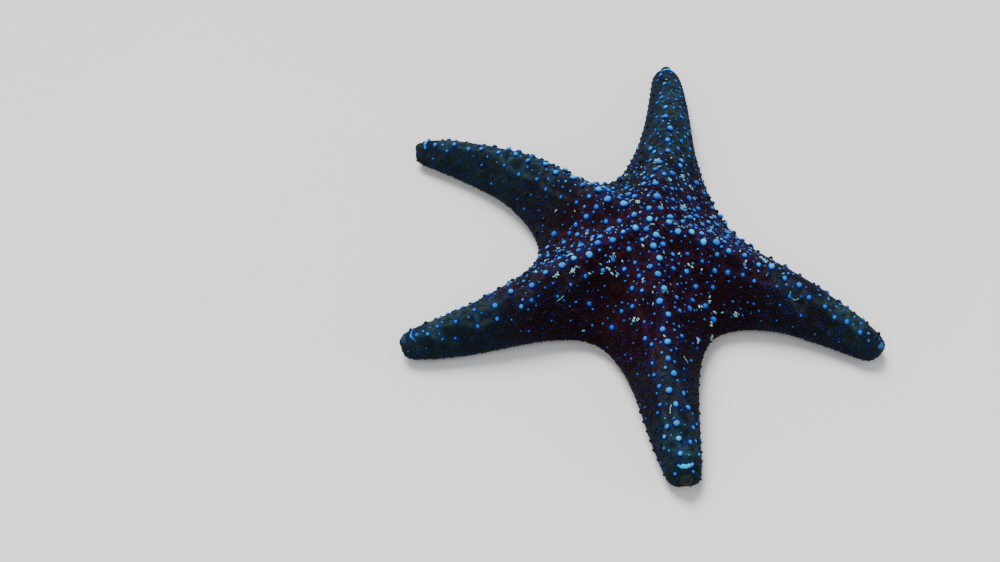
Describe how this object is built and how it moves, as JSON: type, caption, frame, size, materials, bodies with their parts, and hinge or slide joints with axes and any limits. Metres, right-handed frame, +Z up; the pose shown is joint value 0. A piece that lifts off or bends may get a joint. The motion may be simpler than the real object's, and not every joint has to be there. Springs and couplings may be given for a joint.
{
  "type": "knobbed sea star",
  "caption": "Life-size knobbed sea star with tapering arms, a domed disc and blunt knobs, resting flat on its underside.",
  "frame": {"origin": "the middle of the plan outline's bounds, on the floor that the animal rests on", "axes": "+Z up through the back, -Y toward the front arm, +X to the right with the front arm toward the viewer"},
  "size_m": [0.2154, 0.2528, 0.0393],
  "materials": {
    "disc_skin": "matt, granular, very dark maroon",
    "arm_skin": "matt, granular, very dark maroon with pale blue knobs",
    "sieve_plate": "matt, finely furrowed, dark maroon",
    "mouth_skin": "soft, slightly damp",
    "tip_plate": "smooth, matt, dark slate blue"
  },
  "bodies": {
    "root": {"disc": "disc_skin", "arm_right": "arm_skin", "arm_rear": "arm_skin", "arm_left_rear": "arm_skin", "arm_left_front": "arm_skin", "arm_front": "arm_skin", "madreporite": "sieve_plate", "mouth": "mouth_skin", "tip_plate_right": "tip_plate", "tip_plate_rear": "tip_plate", "tip_plate_left_rear": "tip_plate", "tip_plate_left_front": "tip_plate", "tip_plate_front": "tip_plate"}
  },
  "joints": []
}
